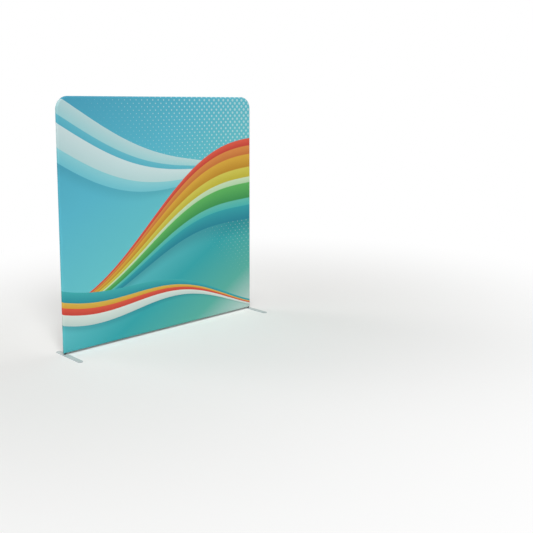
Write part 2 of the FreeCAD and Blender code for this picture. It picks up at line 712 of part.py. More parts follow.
def zip_slider():
    bridge_low = TAPE_Y - PLATE_INNER_GAP
    bridge = polygon_face(
        [
            Vector(BRIDGE_FRONT_X, bridge_low, ZIP_Z - BRIDGE_WIDTH / 2),
            Vector(BRIDGE_FRONT_X, bridge_low, ZIP_Z + BRIDGE_WIDTH / 2),
            Vector(BRIDGE_FRONT_X - BRIDGE_LENGTH, bridge_low, ZIP_Z),
        ]
    ).extrude(AXIS_Y * (2 * PLATE_INNER_GAP))
    crown = box(
        Vector(SLIDER_X - CROWN_LENGTH / 2, PLATE_FACE_Y, ZIP_Z - CROWN_WIDTH / 2),
        Vector(
            SLIDER_X + CROWN_LENGTH / 2,
            PLATE_FACE_Y + CROWN_OPENING + CROWN_BAR,
            ZIP_Z + CROWN_WIDTH / 2,
        ),
    )
    shoulders = [e for e in crown.Edges if e.BoundBox.YMin > PULL_AXIS_Y]
    across = [e for e in shoulders if e.BoundBox.ZLength > CROWN_WIDTH / 2]
    crown = crown.makeFillet(CROWN_BAR, across)
    window = box(
        Vector(SLIDER_X - CROWN_LENGTH / 2 + CROWN_BAR, PLATE_FACE_Y, ZIP_Z - CROWN_WIDTH),
        Vector(
            SLIDER_X + CROWN_LENGTH / 2 - CROWN_BAR,
            PLATE_FACE_Y + CROWN_OPENING,
            ZIP_Z + CROWN_WIDTH,
        ),
    )
    return joined([slider_half(1), slider_half(-1), bridge, crown.cut(window)])


def zip_pull():
    """A flat tab that lies along the closed chain, its eye bar inside the slider's crown."""
    thickness = AXIS_Y * PULL_THICKNESS
    low_y = PULL_AXIS_Y - PULL_THICKNESS / 2
    half = PULL_WIDTH / 2
    bar = PULL_THICKNESS / 2
    end_x = SLIDER_X - PULL_LENGTH
    round_x = end_x + half
    outline = Part.Wire(
        [
            line(Vector(SLIDER_X, low_y, half), Vector(round_x, low_y, half)),
            arc(Vector(round_x, low_y, half), Vector(end_x, low_y, 0), Vector(round_x, low_y, -half)),
            line(Vector(round_x, low_y, -half), Vector(SLIDER_X, low_y, -half)),
            line(Vector(SLIDER_X, low_y, -half), Vector(SLIDER_X, low_y, half)),
        ]
    )
    tab = Part.Face(outline).extrude(thickness)
    eye_half = CROWN_WIDTH / 2 + PULL_EYE_CLEARANCE
    eye_reach = math.hypot(CROWN_LENGTH / 2, CROWN_OPENING / 2 + CROWN_BAR) + PULL_EYE_CLEARANCE
    eye = box(
        Vector(SLIDER_X - eye_reach, low_y, -eye_half),
        Vector(SLIDER_X, low_y + PULL_THICKNESS, eye_half),
    )
    eye_bar = Part.makeCylinder(bar, PULL_WIDTH, Vector(SLIDER_X, PULL_AXIS_Y, -half), AXIS_Z)
    finger_hole = Part.makeCylinder(
        PULL_HOLE_RADIUS, PULL_THICKNESS, Vector(round_x, low_y, 0), AXIS_Y
    )
    pull = tab.cut([eye, finger_hole]).fuse(eye_bar)
    pull.translate(AXIS_Z * ZIP_Z)
    return pull


save("zip_slider", zip_slider())
save("zip_pull", zip_pull())
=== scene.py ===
import math

import bmesh
import bpy
from mathutils import Matrix, Vector


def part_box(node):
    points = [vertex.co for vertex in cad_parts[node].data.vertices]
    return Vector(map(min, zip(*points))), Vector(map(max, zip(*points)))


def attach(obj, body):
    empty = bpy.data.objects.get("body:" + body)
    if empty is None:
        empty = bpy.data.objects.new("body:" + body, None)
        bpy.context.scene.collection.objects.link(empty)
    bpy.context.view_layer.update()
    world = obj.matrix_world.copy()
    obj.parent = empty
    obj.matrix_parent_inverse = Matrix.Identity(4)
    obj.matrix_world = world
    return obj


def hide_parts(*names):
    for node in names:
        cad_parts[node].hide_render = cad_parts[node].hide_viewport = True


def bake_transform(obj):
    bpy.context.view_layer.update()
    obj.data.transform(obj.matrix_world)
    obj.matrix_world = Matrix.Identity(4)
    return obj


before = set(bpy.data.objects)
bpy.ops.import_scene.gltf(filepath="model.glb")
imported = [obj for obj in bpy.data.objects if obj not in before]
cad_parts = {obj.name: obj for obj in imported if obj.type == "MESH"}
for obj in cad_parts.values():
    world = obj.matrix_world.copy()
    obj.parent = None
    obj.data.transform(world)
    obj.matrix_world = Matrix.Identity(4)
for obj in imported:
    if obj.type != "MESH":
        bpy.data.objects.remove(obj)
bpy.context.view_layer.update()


# Frame tubes. Round aluminium tube in ten lengths, satin anodised, drilled near its ends and bent
# at the two top corners. The drawing die leaves faint lines that run along each length.


class Finish:
    """A material in the making, with its shader and the piece's own Object coordinates."""

    def __init__(self, name, colour, roughness, metallic=0.0):
        self.material = bpy.data.materials.new(name)
        self.material.use_nodes = True
        self.tree = self.material.node_tree
        self.shader = self.tree.nodes["Principled BSDF"]
        self.place = self.add("TexCoord").outputs["Object"]
        self.shade("Base Color", (*colour, 1.0))
        self.shade("Roughness", roughness)
        self.shade("Metallic", metallic)

    def feed(self, socket, value):
        if isinstance(value, bpy.types.NodeSocket):
            self.tree.links.new(value, socket)
        else:
            socket.default_value = value

    def shade(self, socket, value):
        self.feed(self.shader.inputs[socket], value)

    def add(self, kind, inputs=None, **settings):
        made = self.tree.nodes.new("ShaderNode" + kind)
        for name, value in settings.items():
            setattr(made, name, value)
        for name, value in (inputs or {}).items():
            self.feed(made.inputs[name], value)
        return made

    def work(self, operation, *values):
        made = self.add("Math", operation=operation)
        for socket, value in zip(made.inputs, values):
            self.feed(socket, value)
        return made.outputs[0]

    def axes(self):
        return self.add("SeparateXYZ", {"Vector": self.place}).outputs

    def noise(self, scale, detail=2.0, stretch=(1.0, 1.0, 1.0)):
        spread = self.add("Mapping", {"Vector": self.place, "Scale": stretch})
        made = self.add("TexNoise", {"Vector": spread.outputs[0], "Scale": scale, "Detail": detail})
        return made.outputs[0]

    def span(self, value, low, high, first, last, smooth=False):
        """A value that runs from first to last while the input runs from low to high."""
        limits = {
            "Value": value,
            "From Min": low,
            "From Max": high,
            "To Min": first,
            "To Max": last,
        }
        way = "SMOOTHSTEP" if smooth else "LINEAR"
        return self.add("MapRange", limits, interpolation_type=way).outputs[0]

    def ramp(self, factor, stops):
        made = self.add("ValToRGB", {"Fac": factor})
        elements = made.color_ramp.elements
        elements[0].position = stops[0][0]
        elements[0].color = (*stops[0][1], 1.0)
        elements[1].position = stops[-1][0]
        elements[1].color = (*stops[-1][1], 1.0)
        for position, colour in stops[1:-1]:
            elements.new(position).color = (*colour, 1.0)
        return made.outputs[0]

    def mix(self, share, under, over, way="MIX"):
        made = self.add("Mix", data_type="RGBA", blend_type=way)
        self.feed(made.inputs[0], share)
        self.feed(made.inputs[6], under)
        self.feed(made.inputs[7], over)
        return made.outputs[2]

    def mottle(self, pattern, dark, light):
        """A base colour that wanders between two tones over a pattern's middle values."""
        tones = [(0.3, paint(*dark)), (0.7, paint(*light))]
        self.shade("Base Color", self.ramp(pattern, tones))

    def cells(self, scale):
        """A grey of its own for each cell of a crystal pattern."""
        made = self.add("TexVoronoi", {"Vector": self.place, "Scale": scale})
        return self.add("SeparateColor", {"Color": made.outputs["Color"]}).outputs[0]

    def bump(self, height, distance, strength=1.0):
        made = self.add("Bump", {"Height": height, "Distance": distance, "Strength": strength})
        self.shade("Normal", made.outputs[0])

    def dress(self, *nodes):
        for node in nodes:
            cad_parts[node].material_slots[0].material = self.material


def paint(red, green, blue):
    """A colour as it is seen, 0 to 255, in the linear values that a shader takes."""
    return tuple(((v / 255 + 0.055) / 1.055) ** 2.4 for v in (red, green, blue))


tubes = [
    "top_left_tube",
    "top_right_tube",
    "left_upper_upright",
    "left_lower_upright",
    "right_upper_upright",
    "right_lower_upright",
    "bottom_left_rail",
    "bottom_right_rail",
    "centre_upper_pole",
    "centre_lower_pole",
]
anodised = Finish("anodised_tube", paint(222, 223, 225), 0.32, 1.0)
die_lines = anodised.noise(1.0, 3.0, (2.0, 2600.0, 2.0))
handling = anodised.noise(14.0, 4.0)
anodised.mottle(handling, (206, 208, 210), (226, 227, 229))
anodised.shade("Roughness", anodised.span(die_lines, 0.3, 0.7, 0.24, 0.42))
anodised.bump(die_lines, 0.00004)
anodised.dress(*tubes)


# Joint hardware. Mill-finish aluminium sleeves and blind rivets, and steel snap buttons, zinc
# plated. The sleeves are riveted into one tube and snap into the next.

sleeve_joints = [
    "top",
    "bottom",
    "left_shoulder",
    "right_shoulder",
    "left_upright",
    "right_upright",
    "centre_pole",
]
snap_joints = sleeve_joints + ["left_elbow", "right_elbow"]
mill = Finish("mill_aluminium", paint(198, 200, 202), 0.45, 1.0)
mill_grain = mill.noise(420.0, 4.0)
mill.mottle(mill_grain, (184, 186, 188), (208, 209, 211))
mill.shade("Roughness", mill.span(mill_grain, 0.3, 0.7, 0.38, 0.56))
mill.bump(mill_grain, 0.00003)
mill.dress("frame_rivets", *[joint + "_sleeve" for joint in sleeve_joints])

zinc = Finish("zinc_plated_spring", paint(190, 193, 197), 0.3, 1.0)
spangle = zinc.cells(900.0)
zinc_tones = [(0.0, paint(176, 180, 184)), (1.0, paint(202, 205, 208))]
zinc.shade("Base Color", zinc.ramp(spangle, zinc_tones))
zinc.shade("Roughness", zinc.span(spangle, 0.0, 1.0, 0.22, 0.38))
zinc.dress(*[joint + "_snap_button" for joint in snap_joints])


# Snap springs. A hairpin of flat spring steel inside each joint, zinc plated as the buttons are.
# One leaf carries the button and closes towards the other as the button is pressed.

SHARP_EDGE = math.radians(40)


def new_piece(name, bm, finish, smooth=True):
    mesh = bpy.data.meshes.new(name)
    bm.to_mesh(mesh)
    bm.free()
    mesh.materials.append(finish.material)
    for face in mesh.polygons:
        face.use_smooth = smooth
    piece = bpy.data.objects.new(name, mesh)
    bpy.context.scene.collection.objects.link(piece)
    return piece


for joint in snap_joints:
    bm = bmesh.new()
    bm.from_mesh(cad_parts[joint + "_snap_spring"].data)
    bmesh.ops.remove_doubles(bm, verts=bm.verts, dist=1e-6)
    hairpin = new_piece(joint + "_hairpin", bm, zinc)
    hairpin.data.set_sharp_from_angle(angle=SHARP_EDGE)
    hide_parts(joint + "_snap_spring")
    low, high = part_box(joint + "_snap_spring")
    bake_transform(hairpin)


# Corner elbows and pole saddles. Glass-filled nylon, moulded black with a fine spark-eroded
# texture. The elbows plug into the uprights and the bottom rail; the saddles are riveted in.

nylon = Finish("moulded_nylon", paint(40, 41, 43), 0.55)
spark_texture = nylon.noise(1500.0, 2.0)
nylon.mottle(nylon.noise(60.0, 3.0), (35, 36, 38), (50, 51, 53))
nylon.shade("Roughness", nylon.span(spark_texture, 0.3, 0.7, 0.45, 0.65))
nylon.bump(spark_texture, 0.00008)
nylon.dress("left_corner_elbow", "right_corner_elbow", "centre_top_saddle", "centre_bottom_saddle")


# Thread inserts. Turned brass bushes with a thread inside, pressed into the elbows' bosses from
# below. They take the foot screws.

brass = Finish("turned_brass", paint(206, 172, 104), 0.28, 1.0)
turning = brass.noise(1.0, 2.0, (40.0, 40.0, 3000.0))
brass.mottle(turning, (190, 154, 88), (214, 182, 116))
brass.bump(turning, 0.00003)
brass.dress("left_thread_insert", "right_thread_insert")


# Feet. Flat steel bar with round ends, powder coated silver grey, on the floor across each end.
# The coat has orange peel and fine metallic fleck and is scuffed on top; its sides carry painted shade,
# a darker blue grey below the top's rounded edge.

FOOT_EDGE_LOW = 0.0036
FOOT_EDGE_HIGH = 0.0058
powder = Finish("powder_coat", paint(184, 193, 192), 0.6)
fleck = powder.cells(2400.0)
coat = powder.ramp(fleck, [(0.0, paint(173, 183, 182)), (1.0, paint(193, 202, 201))])
scuffs = powder.noise(1.0, 6.0, (90.0, 14.0, 90.0))
scuffed = powder.span(scuffs, 0.58, 0.72, 0.0, 0.4, True)
coat = powder.mix(scuffed, coat, (*paint(206, 212, 211), 1.0))
_, _, foot_z = powder.axes()
# Painted shade: the sides of the bar, below the top's rounded edge, are coloured a darker blue grey.
painted_side_shade = powder.span(foot_z, FOOT_EDGE_LOW, FOOT_EDGE_HIGH, 0.8, 0.0, True)
powder.shade("Base Color", powder.mix(painted_side_shade, coat, (*paint(142, 158, 164), 1.0)))
orange_peel = powder.noise(520.0, 1.0)
powder.shade("Roughness", powder.span(scuffs, 0.4, 0.7, 0.55, 0.68))
powder.shade("Specular IOR Level", 0.3)
powder.bump(orange_peel, 0.00012, 0.6)
powder.dress("left_foot", "right_foot")


# Foot screws. Zinc plated socket screws, countersunk into the feet from below and driven up into
# the elbows' inserts. Each foot turns about its own screw.

plated = Finish("plated_screw", paint(176, 180, 186), 0.34, 1.0)
lathe = plated.noise(1.0, 2.0, (300.0, 300.0, 2500.0))
plated.mottle(lathe, (158, 162, 168), (190, 194, 199))
plated.bump(lathe, 0.00003)
plated.dress("left_foot_screw", "right_foot_screw")


# Printed front of the cover. Polyester stretch knit with a dye-sublimated print, cut and sewn with
# the back into a pillowcase, drawn tight over the tubes and turned under the rail to the zip.

CLOTH = 0.0006
CORNER_RADIUS = 0.1199
ZIP_SLOT = 0.014
BOSS_HOLE = 0.012
CLOTH_MESH = 0.045
CORNER_STEPS = 26
RIM_STEPS = 10
RIM_FLAT = 0.00002
BOSS_SIDES = 16
MERGE = 0.0001
SEAM_DIP = 0.00025
SEAM_RIDGE = 0.0005
SEAM_REACH = 0.0045
MITRE_ROUND = 0.003
FOLD_DEPTH = 0.0007
FOLD_REACH = 0.22
FOLD_START = 0.06
HEM_DEPTH = 0.0004
HEM_REACH = 0.12
TOP_DEPTH = 0.0002
TOP_REACH = 0.10
EDGE_HELD = 0.04
SIDE_HELD = 0.05
WALE = 0.0011
COURSE = 0.0009
PUCKER_REACH = 0.009
PUCKER_HEIGHT = 5.0
GROOVE_HALF = 0.0005
cover_low, cover_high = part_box("front_panel")
stop_low, stop_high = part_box("zip_end_stops")
rim = (cover_high.y - cover_low.y) / 2
middle_y = (cover_low.y + cover_high.y) / 2
wide = cover_high.x - cover_low.x
tall = cover_high.z - cover_low.z
side_x = cover_high.x - rim
low_z = cover_low.z + rim
top_z = cover_high.z - rim
bend_z = cover_high.z - CORNER_RADIUS
zip_z = (stop_low.z + stop_high.z) / 2
zip_half = stop_high.x


def rounded(bm, edges, radius, segments):
    bmesh.ops.bevel(
        bm,
        geom=edges,
        offset=radius,
        offset_type="OFFSET",
        affect="EDGES",
        segments=segments,
        profile=0.5,
        material=-1,
    )


def cut_across(bm, point, normal, faces=None):
    """Cuts the mesh, or the given faces of it, along a plane."""
    chosen = bm.faces[:] if faces is None else faces
    edges = {edge for face in chosen for edge in face.edges}
    verts = {vert for face in chosen for vert in face.verts}
    geom = list(verts) + list(edges) + list(chosen)
    bmesh.ops.bisect_plane(bm, geom=geom, dist=1e-6, plane_co=point, plane_no=normal)


def on_mitre(*ends):
    """Whether an edge runs along the slanting line of one bottom corner, clear of the flat."""
    out = [abs(vert.co.x) - side_x for vert in ends]
    down = [low_z - vert.co.z for vert in ends]
    slanting = all(abs(o - d) < MERGE for o, d in zip(out, down))
    return slanting and min(out) > MITRE_ROUND and ends[0].co.x * ends[1].co.x > 0


def cover_form():
    """The closed cover: half-round over the tubes, large corners above and square ones below."""
    bm = bmesh.new()
    bmesh.ops.create_cube(bm, size=1.0)
    bmesh.ops.scale(bm, vec=(wide, 2 * rim, tall), verts=bm.verts)
    bmesh.ops.translate(bm, vec=(0, middle_y, cover_low.z + tall / 2), verts=bm.verts)
    through = [e for e in bm.edges if abs(e.verts[0].co.y - e.verts[1].co.y) > rim]
    rounded(bm, [e for e in through if e.verts[0].co.z > low_z], CORNER_RADIUS, CORNER_STEPS)
    rims = [e for e in bm.edges if abs(e.verts[0].co.y - e.verts[1].co.y) < rim]
    rounded(bm, rims, rim - RIM_FLAT, RIM_STEPS)
    bmesh.ops.remove_doubles(bm, verts=bm.verts, dist=MERGE)
    rounded(bm, [e for e in bm.edges if on_mitre(*e.verts)], MITRE_ROUND, 3)
    columns = round(wide / CLOTH_MESH)
    for step in range(1, columns):
        cut_across(bm, (wide * (step / columns - 0.5), 0, 0), (1, 0, 0))
    rows = round(tall / CLOTH_MESH)
    for step in range(1, rows):
        cut_across(bm, (0, 0, cover_low.z + tall * step / rows), (0, 0, 1))
    for x in (-zip_half, zip_half):
        cut_across(bm, (x, 0, 0), (1, 0, 0))
    for z in (zip_z - ZIP_SLOT / 2, zip_z, zip_z + ZIP_SLOT / 2):
        cut_across(bm, (0, 0, z), (0, 0, 1))
    bmesh.ops.recalc_face_normals(bm, faces=bm.faces)
    return bm


def over_boss(face):
    spot = face.calc_center_median()
    return spot.z < low_z and math.hypot(abs(spot.x) - side_x, spot.y - middle_y) < BOSS_HOLE


def cut_boss_holes(bm):
    """Opens the cloth under each bottom corner, where the elbow's boss comes through."""
    for side in (-1, 1):
        for step in range(BOSS_SIDES):
            turn = math.tau * step / BOSS_SIDES
            out = Vector((math.cos(turn), math.sin(turn), 0))
            near = [
                face
                for face in bm.faces
                if max(v.co.z for v in face.verts) < low_z
                and min(abs(v.co.x * side - side_x) for v in face.verts) < 2 * BOSS_HOLE
            ]
            cut_across(bm, Vector((side * side_x, middle_y, 0)) + out * BOSS_HOLE, out, near)
    bmesh.ops.delete(bm, geom=[face for face in bm.faces if over_boss(face)], context="FACES")


def on_front(face):
    middle = face.calc_center_median()
    return middle.y < middle_y or middle.z < zip_z


def in_slot(face):
    middle = face.calc_center_median()
    inside = abs(middle.x) < zip_half and abs(middle.z - zip_z) < ZIP_SLOT / 2
    return inside and middle.y > middle_y


def pull_tight(bm):
    """Sews in the seam's ridge and pulls faint tension folds towards the corners."""
    bm.normal_update()
    moves = []
    for vert in bm.verts:
        x, y, z = vert.co
        off_seam = abs(y - middle_y)
        outer = abs(x) > side_x or z > bend_z
        out = 0.0
        if outer and z > zip_z and off_seam < SEAM_REACH:
            rise = math.sin(math.pi * off_seam / SEAM_REACH)
            out = SEAM_RIDGE * rise - (SEAM_DIP if off_seam < MERGE else 0.0)
        if off_seam > rim - 0.0005:
            to_side = side_x - abs(x)
            up = z - low_z
            down = top_z - z
            corner = math.hypot(to_side, up)
            turn = math.atan2(up, max(to_side, MERGE))
            fold = math.sin(11.0 * turn) * math.exp(-corner / FOLD_REACH) * min(1.0, corner / FOLD_START)
            hem = math.sin(23.0 * x + 1.3) * math.exp(-up / HEM_REACH) * min(1.0, up / EDGE_HELD)
            top = math.sin(17.0 * x + 0.4) * math.exp(-down / TOP_REACH) * min(1.0, down / EDGE_HELD)
            slack = FOLD_DEPTH * fold + HEM_DEPTH * hem + TOP_DEPTH * top
            out += slack * min(1.0, to_side / SIDE_HELD)
        if out:
            moves.append((vert, vert.normal * out))
    for vert, move in moves:
        vert.co += move


def cover_piece(front_side):
    bm = cover_form()
    pull_tight(bm)
    cut_boss_holes(bm)
    gone = [face for face in bm.faces if in_slot(face) or on_front(face) != front_side]
    bmesh.ops.delete(bm, geom=gone, context="FACES")
    return bm


def off_seam_line(finish):
    """How far the cloth is from the seam round the sides and top, from front to back."""
    _, y, _ = finish.axes()
    return finish.work("ABSOLUTE", finish.work("SUBTRACT", y, middle_y))


def knit_height(finish):
    """Loops of a fine warp knit, turned over the rims, with short puckers that run in to the seam."""
    x, y, z = finish.axes()
    wale = finish.work("MULTIPLY", finish.work("ADD", x, y), 2 * math.pi / WALE)
    wale = finish.work("SINE", wale)
    course = finish.work("MULTIPLY", finish.work("ADD", z, y), 2 * math.pi / COURSE)
    course = finish.work("SINE", course)
    loops = finish.work("ADD", finish.work("MULTIPLY", wale, course), finish.noise(700.0, 2.0))
    drawn_in = finish.span(off_seam_line(finish), 0.0, PUCKER_REACH, PUCKER_HEIGHT, 0.0, True)
    puckers = finish.noise(1.0, 1.0, (210.0, 30.0, 210.0))
    return finish.work("MULTIPLY_ADD", puckers, drawn_in, loops)


def painted_seam_shade(finish, colour):
    """Paints shade on the cloth where it turns down into the seam, which ends at the zip's height."""
    _, _, z = finish.axes()
    # Painted shade in the seam's groove, darkest at the seam line and gone a little way off it.
    seam_shade_share = finish.span(off_seam_line(finish), GROOVE_HALF, 3 * GROOVE_HALF, 0.4, 0.0, True)
    seam_shade_share = finish.work("MULTIPLY", seam_shade_share, finish.work("GREATER_THAN", z, zip_z))
    return finish.mix(seam_shade_share, colour, (*paint(48, 58, 60), 1.0))


def as_printed(finish):
    """Across and up on the cloth as it was printed flat, so that no motif smears over a rim."""
    x, y, z = finish.axes()
    turned = finish.work("SUBTRACT", y, cover_low.y)
    from_middle = finish.work("ABSOLUTE", x)
    near_side = finish.span(from_middle, wide / 2 - CORNER_RADIUS, side_x, 0.0, 1.0, True)
    outward = finish.work("MULTIPLY", finish.work("SIGN", x), near_side)
    near_top = finish.span(z, bend_z, top_z, 0.0, 1.0, True)
    across = finish.work("MULTIPLY_ADD", outward, turned, x)
    return across, finish.work("MULTIPLY_ADD", near_top, turned, z)


def ribbons(finish, ground, spine, spread, bands, cover, shade):
    """Lays a fan of curved ribbons over the ground colour, with a soft shade below it. spine is the
    fan's middle line as height, slope, swing, pace and start; spread is its half width at the left and
    right edges; a band is a share of the width with its lower and upper colour."""
    x, z = as_printed(finish)
    height, slope, swing, pace, start = spine
    wave = finish.work("SINE", finish.work("MULTIPLY_ADD", x, pace, start))
    line = finish.work("MULTIPLY_ADD", wave, swing, finish.work("MULTIPLY_ADD", x, slope, height))
    half = finish.span(x, -wide / 2, wide / 2, spread[0], spread[1], True)
    across = finish.work("DIVIDE", finish.work("SUBTRACT", z, line), half)
    below = finish.span(across, -1.5, -1.0, 0.0, shade, True)
    under = finish.work("MULTIPLY", below, finish.work("LESS_THAN", across, -1.0))
    ground = finish.mix(under, ground, (*paint(24, 92, 108), 1.0))
    stops = []
    total = sum(width for width, _, _ in bands)
    place = 0.0
    for width, first, last in bands:
        stops.append((place, paint(*first)))
        place += width / total
        stops.append((place - 0.004, paint(*last)))
    colours = finish.ramp(finish.span(across, -1.0, 1.0, 0.0, 1.0), stops)
    inside = finish.work("LESS_THAN", finish.work("ABSOLUTE", across), 1.0)
    return finish.mix(finish.work("MULTIPLY", inside, cover), ground, colours)


def dots(finish, ground, pitch, low, high, cover):
    """A field of pale dots on a slanted grid that grow towards the upper right."""
    x, z = as_printed(finish)
    slant = pitch * math.sqrt(2.0)
    across = finish.work("FRACT", finish.work("DIVIDE", finish.work("ADD", x, z), slant))
    up = finish.work("FRACT", finish.work("DIVIDE", finish.work("SUBTRACT", z, x), slant))
    off_x = finish.work("POWER", finish.work("SUBTRACT", across, 0.5), 2.0)
    off_z = finish.work("POWER", finish.work("SUBTRACT", up, 0.5), 2.0)
    away = finish.work("SQRT", finish.work("ADD", off_x, off_z))
    size = finish.span(finish.work("ADD", x, z), low, high, 0.0, 0.36)
    dot = finish.work("MULTIPLY", finish.work("LESS_THAN", away, size), cover)
    return finish.mix(dot, ground, (*paint(216, 232, 228), 1.0))


def print_design(finish):
    """The print: a sea-blue ground with a field of dots and three fans of ribbons."""
    x, z = as_printed(finish)
    fall = finish.work("MULTIPLY_ADD", x, 0.16, finish.span(z, cover_high.z, 0.0, 0.19, 0.81))
    ground = finish.ramp(
        fall,
        [
            (0.0, paint(70, 156, 184)),
            (0.3, paint(88, 181, 202)),
            (0.52, paint(100, 192, 199)),
            (0.7, paint(50, 160, 166)),
            (0.86, paint(85, 170, 156)),
            (1.0, paint(190, 208, 202)),
        ],
    )
    ground = dots(finish, ground, pitch=0.046, low=1.2, high=3.6, cover=0.5)
    ground = ribbons(
        finish,
        ground,
        spine=(1.72, -0.30, 0.16, 1.9, -0.8),
        spread=(0.30, 0.05),
        bands=[
            (0.5, (116, 196, 208), (150, 212, 216)),
            (0.8, (200, 222, 218), (226, 236, 232)),
            (0.3, (88, 176, 196), (104, 188, 202)),
            (0.6, (170, 216, 216), (205, 226, 222)),
        ],
        cover=0.75,
        shade=0.18,
    )
    ground = ribbons(
        finish,
        ground,
        spine=(0.98, 0.42, 0.15, 2.3, 0.5),
        spread=(0.07, 0.44),
        bands=[
            (1.0, (36, 128, 146), (50, 156, 164)),
            (0.5, (70, 176, 172), (96, 186, 170)),
            (1.1, (58, 142, 78), (92, 176, 92)),
            (0.4, (176, 210, 168), (198, 222, 186)),
            (0.7, (188, 176, 56), (206, 198, 84)),
            (0.9, (186, 134, 40), (214, 168, 62)),
            (0.6, (196, 112, 56), (214, 140, 70)),
            (0.5, (196, 66, 54), (220, 92, 72)),
        ],
        cover=1.0,
        shade=0.35,
    )
    return ribbons(
        finish,
        ground,
        spine=(0.34, -0.16, 0.10, 2.6, 1.0),
        spread=(0.16, 0.03),
        bands=[
            (0.8, (186, 204, 198), (214, 224, 216)),
            (0.5, (196, 68, 56), (214, 86, 66)),
            (0.4, (206, 156, 56), (214, 178, 78)),
            (0.8, (40, 140, 152), (64, 168, 170)),
        ],
        cover=1.0,
        shade=0.3,
    )


def knit_feel(finish):
    """What both cloths share: dull, with a little sheen and the fine relief of the knit."""
    finish.shade("Specular IOR Level", 0.2)
    finish.shade("Sheen Weight", 0.08)
    finish.shade("Sheen Roughness", 0.45)
    finish.bump(knit_height(finish), 0.0001, 0.5)


def thicken(piece, thickness):
    """Gives a sheet its thickness, inwards from its outer face."""
    body = piece.modifiers.new("thickness", "SOLIDIFY")
    body.thickness = thickness
    body.offset = -1.0


printed = Finish("printed_knit", paint(92, 190, 198), 0.82)
_, print_y, print_z = printed.axes()
turned_under = printed.work("GREATER_THAN", print_y, middle_y)
hem = printed.work("MULTIPLY", turned_under, printed.work("LESS_THAN", print_z, zip_z))
# The print gets painted shade along the seam line round the sides and top.
ground = painted_seam_shade(printed, print_design(printed))
printed.shade("Base Color", printed.mix(hem, ground, (*paint(38, 39, 41), 1.0)))
knit_feel(printed)

front = new_piece("printed_front", cover_piece(True), printed)
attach(front, "display")
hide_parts("front_panel")
thicken(front, CLOTH)


# Plain back of the cover. The same knit left white, seamed to the front round the sides and top.
# The print bleeds past the seam, so that no white shows at the sides from the front.

PRINT_BLEED = 0.010
plain = Finish("plain_knit", paint(238, 239, 239), 0.85)
wale_streaks = plain.noise(1.0, 2.0, (260.0, 260.0, 1.2))
white_cloth = plain.ramp(wale_streaks, [(0.3, paint(237, 238, 238)), (0.7, paint(241, 241, 240))])
_, plain_y, _ = plain.axes()
bled = plain.work("LESS_THAN", plain_y, middle_y + PRINT_BLEED)
# The white cloth and its bled print get painted shade along the seam line.
plain.shade("Base Color", painted_seam_shade(plain, plain.mix(bled, white_cloth, print_design(plain))))
knit_feel(plain)

back = new_piece("plain_back", cover_piece(False), plain)
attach(back, "display")
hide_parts("back_panel")
thicken(back, CLOTH)


# Zip tapes. Two woven polyester tapes with a herringbone face, black, sewn behind the edges of the
# slot. Their inner edges run on between the two halves of the teeth that are moulded round them.

TWILL_PITCH = 0.0012
HERRINGBONE = 0.003
TAPE_TUCK = 0.0022
woven = Finish("woven_tape", paint(42, 43, 45), 0.75)
tape_x, _, tape_z = woven.axes()
lean = woven.work("PINGPONG", tape_z, HERRINGBONE)
along = woven.work("MULTIPLY", woven.work("ADD", tape_x, lean), 2 * math.pi / TWILL_PITCH)
twill = woven.work("SINE", along)
raised = woven.span(twill, -1.0, 1.0, 0.0, 1.0)
woven.shade("Base Color", woven.ramp(raised, [(0.0, paint(32, 33, 35)), (1.0, paint(54, 55, 57))]))
woven.bump(twill, 0.0001, 0.7)
woven.shade("Specular IOR Level", 0.25)

for side, turn in (("upper", 1), ("lower", -1)):
    low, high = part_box("zip_tape_" + side)
    height = high.z - low.z + TAPE_TUCK
    centre_z = (low.z + high.z - turn * TAPE_TUCK) / 2
    bm = bmesh.new()
    bmesh.ops.create_grid(bm, x_segments=120, y_segments=4, size=0.5)
    upright = Matrix.Rotation(-math.pi / 2, 3, "X")
    bmesh.ops.rotate(bm, cent=(0, 0, 0), matrix=upright, verts=bm.verts)
    bmesh.ops.scale(bm, vec=(high.x - low.x, 1.0, height), verts=bm.verts)
    bmesh.ops.translate(bm, vec=((low.x + high.x) / 2, high.y, centre_z), verts=bm.verts)
    tape = new_piece("woven_tape_" + side, bm, woven)
    thicken(tape, high.y - low.y)
    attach(tape, "display")
    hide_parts("zip_tape_" + side)


# Zip teeth. Black plastic teeth, moulded onto both tapes at a 3 mm pitch. Those of one row reach in
# between those of the other, so that the closed zip holds.

TOOTH_PITCH = 0.003
TOOTH_WIDTH = 0.0017
TOOTH_OVERLAP = 0.0009
TOOTH_ROOT = 0.72
TOOTH_EDGE = 0.0003


def repeat_along(bm, pitch, copies):
    """Sets copies of what the mesh holds in a row along the zip."""
    bmesh.ops.spin(
        bm,
        geom=bm.verts[:] + bm.edges[:] + bm.faces[:],
        cent=(0, 0, 0),
        axis=(0, 0, 1),
        dvec=(pitch, 0, 0),
        angle=0.0,
        steps=copies,
        use_duplicate=True,
    )


